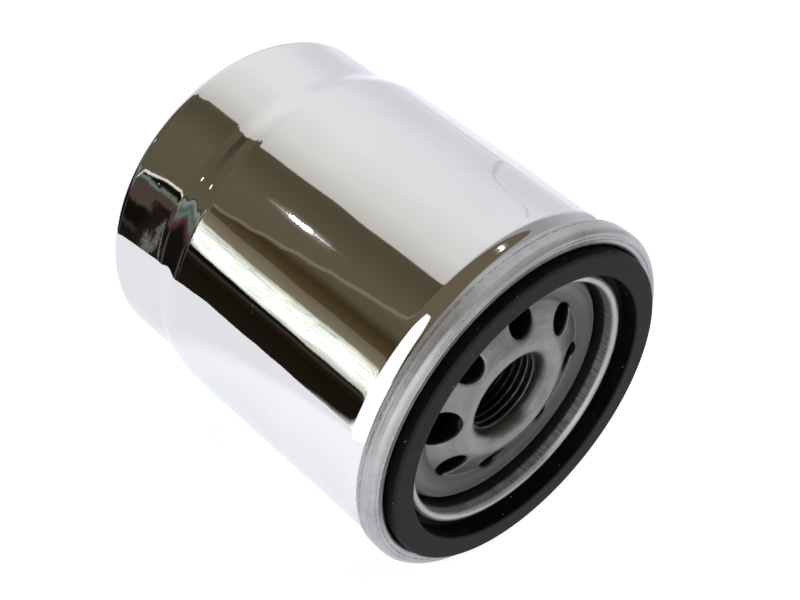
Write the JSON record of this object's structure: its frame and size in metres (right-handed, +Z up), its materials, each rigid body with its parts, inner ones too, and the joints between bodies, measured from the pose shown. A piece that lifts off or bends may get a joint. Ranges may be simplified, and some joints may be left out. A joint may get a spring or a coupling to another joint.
{
  "type": "oil filter",
  "caption": "Spin-on engine oil filter: chrome can with rolled seam, flat gasket, threaded base plate with inlet holes, pleated element, drain-back and bypass valves.",
  "frame": {"origin": "on the filter's axis, in the plane where the base plate's threaded bore begins", "axes": "+Y along the axis from the thread towards the closed dome, so the gasket faces -Y; +Z up as the filter lies on its side; +X to the right when looking along +Y"},
  "size_m": [0.0776, 0.0864, 0.0776],
  "materials": {
    "chrome": "mirror chrome plating",
    "zinc_steel": "satin zinc-plated sheet",
    "compound": "cured sealing compound",
    "gasket_rubber": "moulded nitrile, matt",
    "plate_steel": "pressed plain steel, lightly oiled",
    "weld": "weld metal",
    "valve_rubber": "soft nitrile",
    "cap_steel": "tin-plated sheet",
    "bond": "cured plastisol",
    "tube_steel": "perforated galvanised sheet",
    "filter_paper": "resin-treated cellulose",
    "clip_steel": "zinc-plated sheet",
    "valve_steel": "yellow-passivated zinc",
    "spring_steel": "oil-tempered wire"
  },
  "bodies": {
    "housing": {"can": "chrome", "seam_lid": "zinc_steel", "seam_compound": "compound", "gasket": "gasket_rubber", "base_plate": "plate_steel", "spot_welds": "weld", "drainback_hub": "valve_rubber", "element_spring": "spring_steel"},
    "flap": {"drainback_flap": "valve_rubber"},
    "element": {"lower_end_cap": "cap_steel", "lower_bond": "bond", "center_tube": "tube_steel", "pleated_media": "filter_paper", "media_seam_clip": "clip_steel", "upper_bond": "bond", "upper_end_cap": "cap_steel", "bypass_seat": "valve_steel", "bypass_cage": "clip_steel", "bypass_spring": "spring_steel"},
    "poppet": {"bypass_poppet": "valve_steel", "bypass_seal": "valve_rubber"}
  },
  "joints": [
    {"name": "drainback_open", "type": "slide", "parent": "housing", "child": "flap", "axis": [0, 1, 0], "range_m": [0, 0.002], "stiffness_N_per_m": 150, "springref_m": -0.001},
    {"name": "element_float", "type": "slide", "parent": "housing", "child": "element", "axis": [0, 1, 0], "range_m": [0, 0.0015], "stiffness_N_per_m": 3000, "springref_m": -0.006, "deforming": ["element_spring"]},
    {"name": "bypass_open", "type": "slide", "parent": "element", "child": "poppet", "axis": [0, -1, 0], "range_m": [0, 0.0035], "stiffness_N_per_m": 1500, "springref_m": -0.006, "deforming": ["bypass_spring"]}
  ]
}
